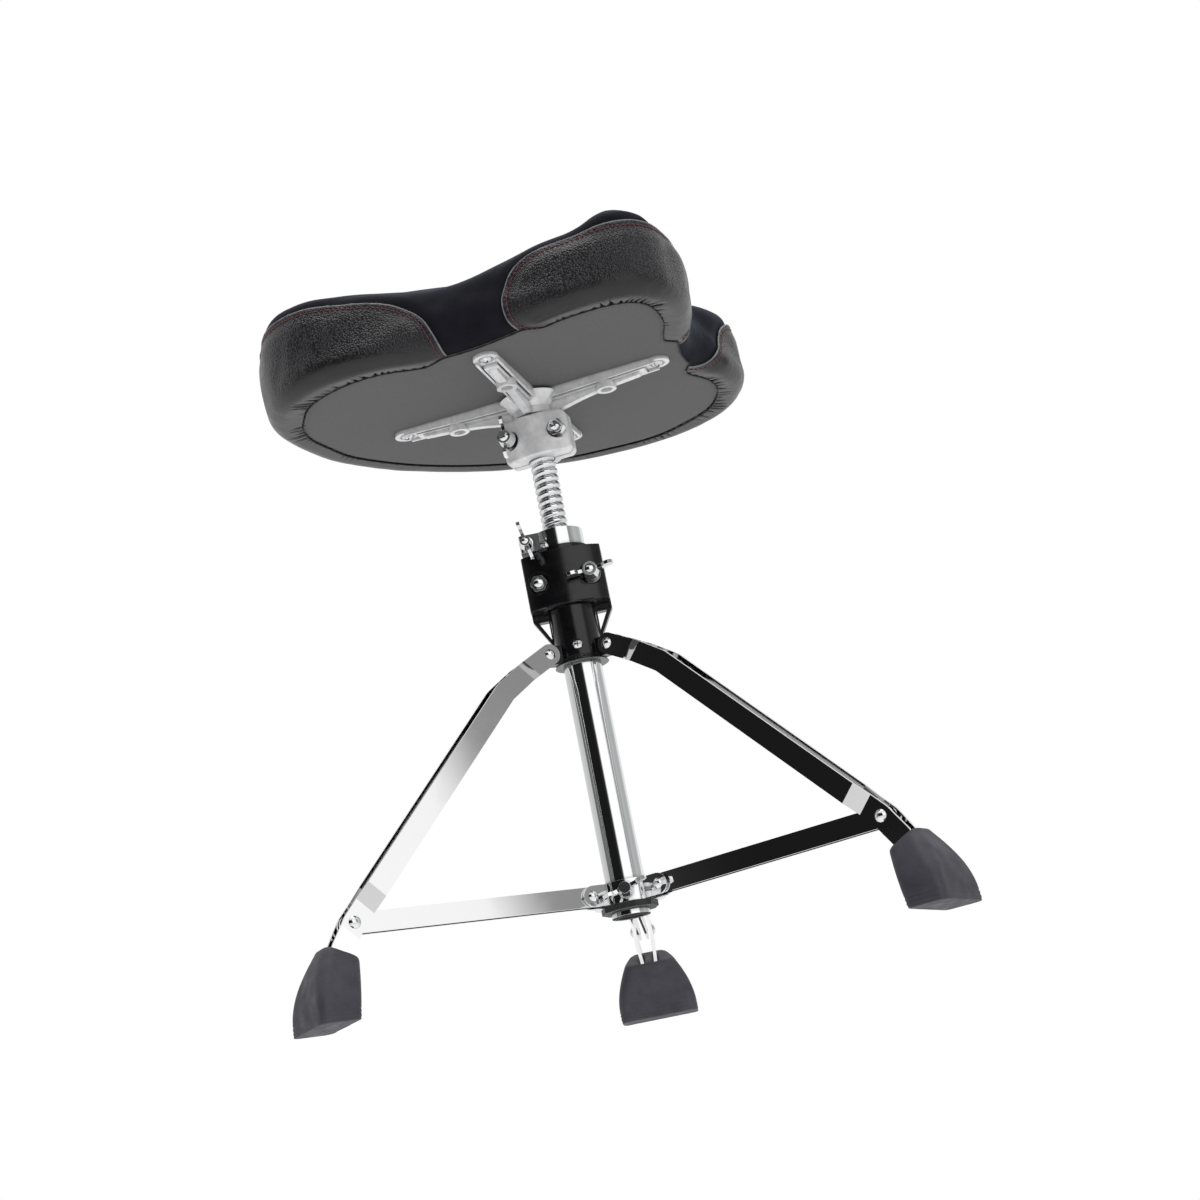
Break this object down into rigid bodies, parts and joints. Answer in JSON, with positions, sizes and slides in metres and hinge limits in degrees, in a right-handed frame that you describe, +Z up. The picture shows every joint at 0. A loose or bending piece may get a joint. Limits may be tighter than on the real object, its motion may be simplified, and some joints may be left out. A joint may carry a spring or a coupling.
{
  "type": "drum throne",
  "caption": "Folding tripod drum throne with a saddle-shaped padded seat on a cast cross bracket, a coarse-threaded height post and chrome strip legs.",
  "frame": {"origin": "on the floor, under the post's axis", "axes": "+Z up along the post, -Y towards the seat's nose, +X to the right seen from above with the nose pointing down the page"},
  "size_m": [0.5014, 0.5283, 0.602],
  "materials": {
    "chrome": "polished chrome plate",
    "chrome_strip": "polished chrome plate on pressed steel strip",
    "black_casting": "gloss black powder coat over casting",
    "zinc_steel": "bright zinc plate",
    "black_nylon": "moulded nylon",
    "rubber": "satin moulded rubber",
    "cast_aluminium": "satin as-cast",
    "plywood": "raw plywood",
    "foam": "open-cell foam",
    "microfibre": "smooth micro-fibre cloth",
    "vinyl": "pebble-grain vinyl, stitched",
    "grey_cloth": "matt grey backing cloth"
  },
  "bodies": {
    "base": {"center_tube": "chrome", "tube_end_plug": "black_nylon", "main_casting": "black_casting", "casting_front_clamp": "black_casting", "rod_nut_insert": "zinc_steel", "tube_retaining_screw": "chrome", "casting_clamp_bolts": "chrome", "casting_clamp_nut": "chrome", "casting_clamp_washer": "chrome", "leg_pivot_rivets": "chrome"},
    "casting_wing": {"casting_wing_nut": "chrome"},
    "collar": {"lower_collar": "chrome", "collar_bush": "black_nylon", "brace_pivot_rivets": "chrome"},
    "screw_front": {"collar_wing_screw_front": "chrome"},
    "screw_right": {"collar_wing_screw_right": "chrome"},
    "screw_left": {"collar_wing_screw_left": "chrome"},
    "leg_rear": {"leg_rear_strip_a": "chrome_strip", "leg_rear_strip_b": "chrome_strip", "leg_rear_brace_studs": "chrome", "rubber_foot_rear": "rubber"},
    "leg_left": {"leg_left_strip_a": "chrome_strip", "leg_left_strip_b": "chrome_strip", "leg_left_brace_studs": "chrome", "rubber_foot_left": "rubber"},
    "leg_right": {"leg_right_strip_a": "chrome_strip", "leg_right_strip_b": "chrome_strip", "leg_right_brace_studs": "chrome", "rubber_foot_right": "rubber"},
    "brace_rear": {"brace_rear_strip_a": "chrome_strip", "brace_rear_strip_b": "chrome_strip"},
    "brace_left": {"brace_left_strip_a": "chrome_strip", "brace_left_strip_b": "chrome_strip"},
    "brace_right": {"brace_right_strip_a": "chrome_strip", "brace_right_strip_b": "chrome_strip"},
    "rod": {"threaded_rod": "chrome", "rod_end_guide": "black_nylon"},
    "height_lock": {"height_lock_ring": "chrome", "height_lock_bolt": "chrome"},
    "height_lock_wing": {"height_lock_wing_nut": "chrome"},
    "seat": {"seat_bracket": "cast_aluminium", "clamp_jaw": "cast_aluminium", "clamp_bolts": "chrome", "clamp_nut": "chrome", "clamp_washer": "chrome", "bracket_screws": "zinc_steel", "tee_nuts": "zinc_steel", "seat_board": "plywood", "underside_cloth": "grey_cloth", "foam_cushion": "foam", "fabric_top_cover": "microfibre", "nose_side_panel": "vinyl", "rear_side_panel": "vinyl"},
    "clamp_wing": {"clamp_wing_nut": "chrome"}
  },
  "joints": [
    {"name": "fold_slide", "type": "slide", "parent": "base", "child": "collar", "axis": [0, 0, 1], "range_m": [0, 0.11734]},
    {"name": "leg_rear_hinge", "type": "hinge", "parent": "base", "child": "leg_rear", "pos_m": [0.0168, 0.02688, 0.2782], "axis": [-0.848, 0.5299, 0], "range_deg": [0, 38.2]},
    {"name": "leg_left_hinge", "type": "hinge", "parent": "base", "child": "leg_left", "pos_m": [-0.03168, 0.00111, 0.2782], "axis": [-0.0349, -0.9994, 0], "range_deg": [0, 38.2]},
    {"name": "leg_right_hinge", "type": "hinge", "parent": "base", "child": "leg_right", "pos_m": [0.01488, -0.02799, 0.2782], "axis": [0.8829, 0.4695, 0], "range_deg": [0, 38.2]},
    {"name": "brace_rear_hinge", "type": "hinge", "parent": "collar", "child": "brace_rear", "pos_m": [0.01812, 0.029, 0.0756], "axis": [-0.848, 0.5299, 0], "range_deg": [0, 80.1]},
    {"name": "brace_left_hinge", "type": "hinge", "parent": "collar", "child": "brace_left", "pos_m": [-0.03418, 0.00119, 0.0756], "axis": [-0.0349, -0.9994, 0], "range_deg": [0, 80.1]},
    {"name": "brace_right_hinge", "type": "hinge", "parent": "collar", "child": "brace_right", "pos_m": [0.01606, -0.0302, 0.0756], "axis": [0.8829, 0.4695, 0], "range_deg": [0, 80.1]},
    {"name": "screw_front_turn", "type": "hinge", "parent": "collar", "child": "screw_front", "pos_m": [-0.01489, -0.02383, 0.0756], "axis": [-0.5299, -0.848, 0], "continuous": true},
    {"name": "screw_right_turn", "type": "hinge", "parent": "collar", "child": "screw_right", "pos_m": [0.02808, -0.00098, 0.0756], "axis": [0.9994, -0.0349, 0], "continuous": true},
    {"name": "screw_left_turn", "type": "hinge", "parent": "collar", "child": "screw_left", "pos_m": [-0.01319, 0.02481, 0.0756], "axis": [-0.4695, 0.8829, 0], "continuous": true},
    {"name": "casting_wing_turn", "type": "hinge", "parent": "base", "child": "casting_wing", "pos_m": [0.00978, -0.02586, 0.3405], "axis": [-0.5299, -0.848, 0], "continuous": true},
    {"name": "rod_lift", "type": "slide", "parent": "base", "child": "rod", "axis": [0, 0, 1], "range_m": [0, 0.1145]},
    {"name": "seat_turn", "type": "hinge", "parent": "rod", "child": "seat", "pos_m": [0, 0, 0.472], "axis": [0, 0, 1], "range_deg": [0, 6480]},
    {"name": "height_lock_slide", "type": "slide", "parent": "rod", "child": "height_lock", "axis": [0, 0, 1], "range_m": [0, 0.055]},
    {"name": "height_lock_wing_turn", "type": "hinge", "parent": "height_lock", "child": "height_lock_wing", "pos_m": [-0.03058, 0.00012, 0.3755], "axis": [-0.5299, -0.848, 0], "continuous": true},
    {"name": "clamp_wing_turn", "type": "hinge", "parent": "seat", "child": "clamp_wing", "pos_m": [-0.02418, 0.00622, 0.472], "axis": [-0.7071, -0.7071, 0], "continuous": true}
  ],
  "couplings": [
    {"joint": "leg_rear_hinge", "follows": "fold_slide", "rad_per_m": 5.6522},
    {"joint": "leg_left_hinge", "follows": "fold_slide", "rad_per_m": 5.6522},
    {"joint": "leg_right_hinge", "follows": "fold_slide", "rad_per_m": 5.6522},
    {"joint": "brace_rear_hinge", "follows": "fold_slide", "rad_per_m": 11.882},
    {"joint": "brace_left_hinge", "follows": "fold_slide", "rad_per_m": 11.882},
    {"joint": "brace_right_hinge", "follows": "fold_slide", "rad_per_m": 11.882},
    {"joint": "rod_lift", "follows": "seat_turn", "m_per_rad": 0.0010106}
  ]
}
